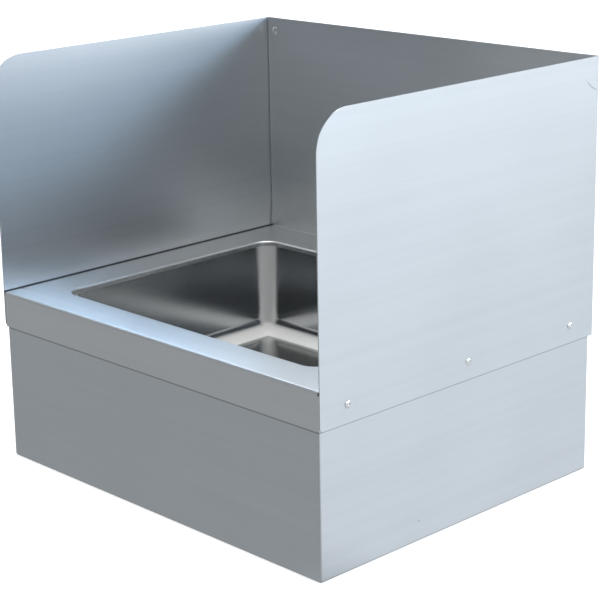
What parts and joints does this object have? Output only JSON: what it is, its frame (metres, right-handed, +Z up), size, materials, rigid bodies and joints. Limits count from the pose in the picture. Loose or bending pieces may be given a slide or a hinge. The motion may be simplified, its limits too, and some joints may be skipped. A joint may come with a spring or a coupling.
{
  "type": "floor mop sink",
  "caption": "Floor-standing mop sink of folded stainless sheet: box skirt, deck with pressed bowl and lift-out waste strainer, splash panels on three sides.",
  "frame": {"origin": "on the floor, halfway across the width and halfway along the depth", "axes": "+X to the right seen from the front, +Y from the front flange to the wall, +Z up"},
  "size_m": [0.5054, 0.4245, 0.46],
  "materials": {
    "sheet_steel": "satin sheet with a fine horizontal brushing",
    "bowl_steel": "satin, brighter in the coves",
    "rivet_steel": "smooth dome heads",
    "waste_steel": "polished pressing",
    "seal_rubber": "matt black",
    "waste_plastic": "moulded white",
    "insert_brass": "turned"
  },
  "bodies": {
    "sink": {"deck": "sheet_steel", "bowl": "bowl_steel", "skirt": "sheet_steel", "right_splash_panel": "sheet_steel", "left_splash_panel": "sheet_steel", "rear_splash_panel": "sheet_steel", "right_side_rivets": "rivet_steel", "left_side_rivets": "rivet_steel", "top_corner_rivets": "rivet_steel", "rear_rivets": "rivet_steel", "rail_rivets": "rivet_steel", "rear_rail": "sheet_steel", "front_bearer": "sheet_steel", "rear_bearer": "sheet_steel", "bearer_pads": "seal_rubber", "flange_seal": "seal_rubber", "waste_cup": "waste_steel", "body_gasket": "seal_rubber", "waste_body": "waste_plastic", "waste_tail": "waste_plastic", "waste_spider": "waste_plastic", "insert_nut": "insert_brass", "clamp_screw": "waste_steel"},
    "basket": {"strainer_basket": "waste_steel", "basket_knob": "waste_steel"}
  },
  "joints": [
    {"name": "basket_lift", "type": "slide", "parent": "sink", "child": "basket", "axis": [0, 0, 1], "range_m": [0, 0.14]}
  ]
}
